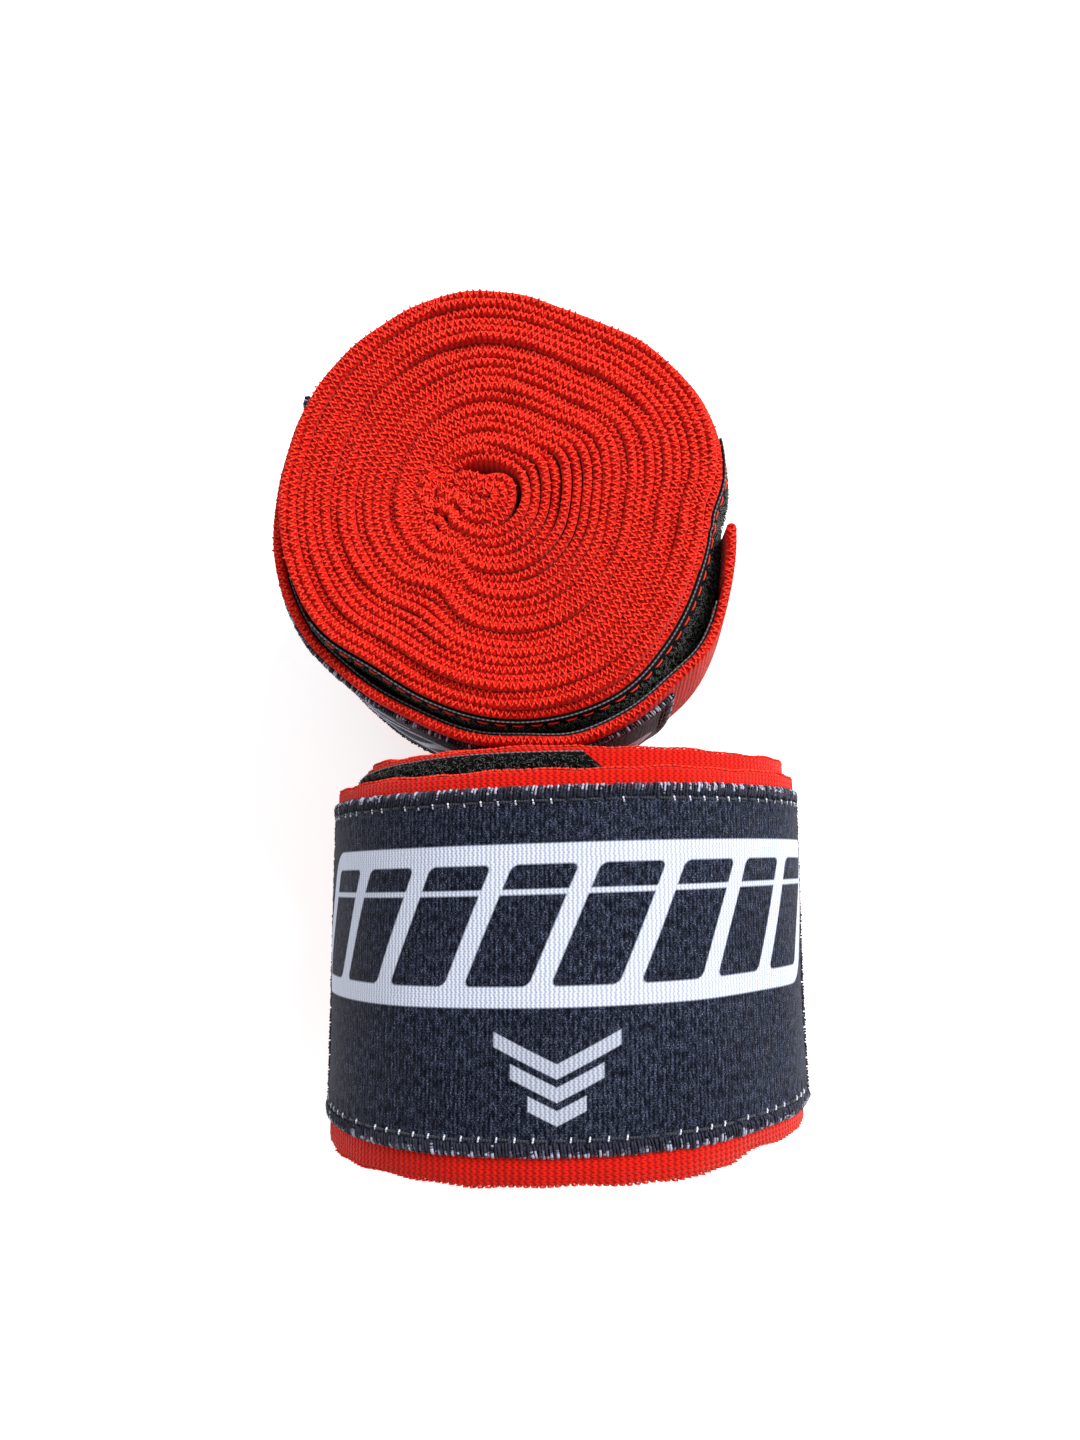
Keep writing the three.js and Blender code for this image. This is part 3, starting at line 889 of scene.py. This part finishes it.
# Each wrap of overlock yarn goes over the label's edge from its face to its back.
overlock = {"pitch": 0.43, "radius": 0.17, "in": [[1.38, 1.05, 0.55, 0.1, -0.13, -0.08]],
            "out": [[0.0, 0.13, 0.17, 0.12, -0.08, -0.34]], "slant": [[0.0, 0.07, 0.15, 0.22, 0.26, 0.3]]}
ticks = {"share": 0.8, "inset": 1.8, "reach": 0.32, "radius": 0.13}


def overlockWraps(at, faceN):
    def play(amount):
        return amount * rng.normal(0, 1, (len(at), 1))

    inward, out, slant = (np.array(overlock[key]) for key in ("in", "out", "slant"))
    return {
        "in": inward * (1 + play(0.10)) + play(0.05),
        "n": faceN + out * (1 + play(0.2)) - 0.02,
        "along": (slant - 0.15) * (1 + play(0.5)) + play(0.05),
        "radius": np.broadcast_to(overlock["radius"] * (1 + play(0.15)), (len(at), 6)),
    }


def makeLabel(wrap):
    name, half = wrap["name"], strap["thickness"] / 2
    where = "roll" if wrap["upright"] else "bend"
    sFrom, sTo = (along(wrap, back) for back in label["back"])
    backN = half + label["above"]
    faceN = backN + label["thickness"]
    seamN = faceN + 0.02
    parts = ["label", "flap_label"] if where == "bend" else ["label"]
    cloth = strip(name + "_label_cloth", wrap, sFrom, sTo, 0.25, label["low"], label["high"], backN,
                  faceN, labelCloth, outerRows=70, innerRows=12, rounding=0.2, relief=labelRelief,
                  uvStart=sFrom, lift=lambda s, z: labelCurl(wrap, s, z))
    attach(cloth, wrap, where, parts)
    for word, edge, inward in (("upper", label["low"], 1), ("lower", label["high"], -1)):
        nodes = [part.replace("label", f"label_{cadWord(wrap, word)}_overlock") for part in parts]
        at = np.arange(sFrom + 0.2, sTo - 0.2, overlock["pitch"])[:, None]
        wound = overlockWraps(at, faceN)
        n = wound["n"] + labelCurl(wrap, at, edge)
        paths = place(wrap, at + wound["along"], n, edge + inward * wound["in"])
        sew(f"label_{word}_overlock_yarn", wrap, paths, wound["radius"], 5, overlockYarn,
            where, nodes)
        rows = stitchRow(wrap, sFrom + 0.5, sTo - 0.5, edge + inward * seam["inset"], seamN, seam)
        sew(f"label_{word}_seam", wrap, rows, seam["radius"], 6, seamThread, where)
        starts = np.arange(sFrom + 0.4, sTo - 0.5, seam["pitch"])[:, None]
        starts = starts[rng.random(len(starts)) < ticks["share"]]
        t = np.linspace(-1, 1, 4)[None, :]
        tick = place(wrap, starts + 0.05 * t + 0.1, faceN + 0.04 - 0.1 * t * t,
                     edge + inward * (ticks["inset"] + ticks["reach"] * t))
        sew(f"label_{word}_ticks", wrap, tick, ticks["radius"], 5, tuftThread, where)
    for word, edge, inward, side in (("start", sFrom, 1, where), ("end", sTo, -1, "roll")):
        at = np.arange(label["low"] + 0.4, label["high"] - 0.4, overlock["pitch"])[:, None]
        wound = overlockWraps(at, faceN)
        far = edge + inward * wound["in"]
        paths = place(wrap, far, wound["n"] + labelCurl(wrap, far, at), at + wound["along"])
        sew(f"label_{word}_overlock_yarn", wrap, paths, wound["radius"], 5, overlockYarn,
            side, [f"label_{word}_seam"])
        rows = stitchColumn(wrap, edge + inward * seam["inset"], label["low"] + 1.5, label["high"] - 1.5,
                            seamN, seam)
        sew(f"label_{word}_seam_stitches", wrap, rows, seam["radius"], 6, seamThread, side)


thumb = {"length": 2.7, "breadth": 1.7, "wall": 0.4, "low": 12.0, "high": 38.0, "round": 0.18,
         "wound": 2.6, "steps": 52, "square": 0.7, "grow": 0.07}
tack = {"pitch": 0.6, "half": 0.55, "radius": 0.1}


def cornered(wave):
    return np.abs(wave) ** thumb["square"] * np.sign(wave)


def makeThumbLoop(wrap):
    # The thumb loop is the folded tape at the strap's inner end, in the middle of the roll.
    name = wrap["name"]
    turn = np.linspace(0, thumb["wound"] * math.pi, thumb["steps"])[:, None]
    side, share, edge = section(3, 3, thumb["round"])
    grow = side * thumb["wall"] / 2 + thumb["grow"] * turn
    x = cornered(np.cos(turn)) * ((thumb["length"] - thumb["wall"]) / 2 + grow)
    y = cornered(np.sin(turn)) * ((thumb["breadth"] - thumb["wall"]) / 2 + grow)
    z = thumb["low"] + thumb["round"] + (thumb["high"] - thumb["low"] - 2 * thumb["round"]) * share
    z = z + edge + wrap["coreShift"] + 0 * turn
    columns = len(side)
    uv = np.stack(np.broadcast_arrays(turn * 1.4, z), -1)
    caps = [np.arange(columns)[::-1], np.arange(columns) + (thumb["steps"] - 1) * columns]
    faces = gridFaces(thumb["steps"], columns)
    piece = meshPiece(name + "_thumb_loop_band", toRow(wrap, x, y, z), faces, uv, strapCloth, caps)
    attach(piece, wrap, "roll", ["thumb_loop"])
    rows = np.arange(thumb["low"] + 2, thumb["high"] - 2, tack["pitch"])[:, None] + wrap["coreShift"]
    t = np.linspace(-1, 1, 5)[None, :]
    out = thumb["breadth"] / 2 + 0.06 - 0.05 * t * t
    paths = toRow(wrap, tack["half"] * t + 0 * rows, out + 0 * rows, rows + 0.2 * t)
    sew("bar_tack", wrap, paths, tack["radius"], 5, redThread,
        "roll", ["thumb_loop_stitching"])


for wrap in wraps.values():
    makeStrap(wrap)
    makeHemStitches(wrap)
    makeLoopTape(wrap)
    makeHookTape(wrap)
    makeLabel(wrap)
    makeThumbLoop(wrap)
    print("built", wrap["name"])


# Lamps are (name, where, size, power), in metres and watts.
studio = {
    "floor": 3.0, "paper": (0.86, 0.86, 0.86, 1), "roughness": 0.9, "glow": 0.5, "world": 0.5,
    "lamps": (("softbox", (0.50, 0.50, 0.66), 0.5, 17.0), ("fill", (-0.5, -0.3, 0.8), 0.8, 2.5)),
    "aim": (0, 0, 0.03),
}


def makeStage():
    mesh = bpy.data.meshes.new("floor")
    far = studio["floor"]
    mesh.from_pydata([(-far, -far, 0), (far, -far, 0), (far, far, 0), (-far, far, 0)], [], [(0, 1, 2, 3)])
    floor = bpy.data.objects.new("floor", mesh)
    bpy.context.scene.collection.objects.link(floor)
    paper = bpy.data.materials.new("paper")
    paper.use_nodes = True
    surface = paper.node_tree.nodes["Principled BSDF"].inputs
    surface["Base Color"].default_value = studio["paper"]
    surface["Roughness"].default_value = studio["roughness"]
    surface["Emission Color"].default_value = (1, 1, 1, 1)
    surface["Emission Strength"].default_value = studio["glow"]
    mesh.materials.append(paper)
    world = bpy.data.worlds.new("studio")
    world.use_nodes = True
    world.node_tree.nodes["Background"].inputs[0].default_value = (1, 1, 1, 1)
    world.node_tree.nodes["Background"].inputs[1].default_value = studio["world"]
    bpy.context.scene.world = world
    for name, spot, size, power in studio["lamps"]:
        data = bpy.data.lights.new(name, "AREA")
        data.size = size
        data.energy = power
        lamp = bpy.data.objects.new(name, data)
        lamp.location = spot
        towards = Vector(studio["aim"]) - Vector(spot)
        lamp.rotation_euler = towards.to_track_quat("-Z", "Y").to_euler()
        bpy.context.scene.collection.objects.link(lamp)
    bpy.context.scene.view_settings.view_transform = "Standard"


makeStage()
print("stage set")
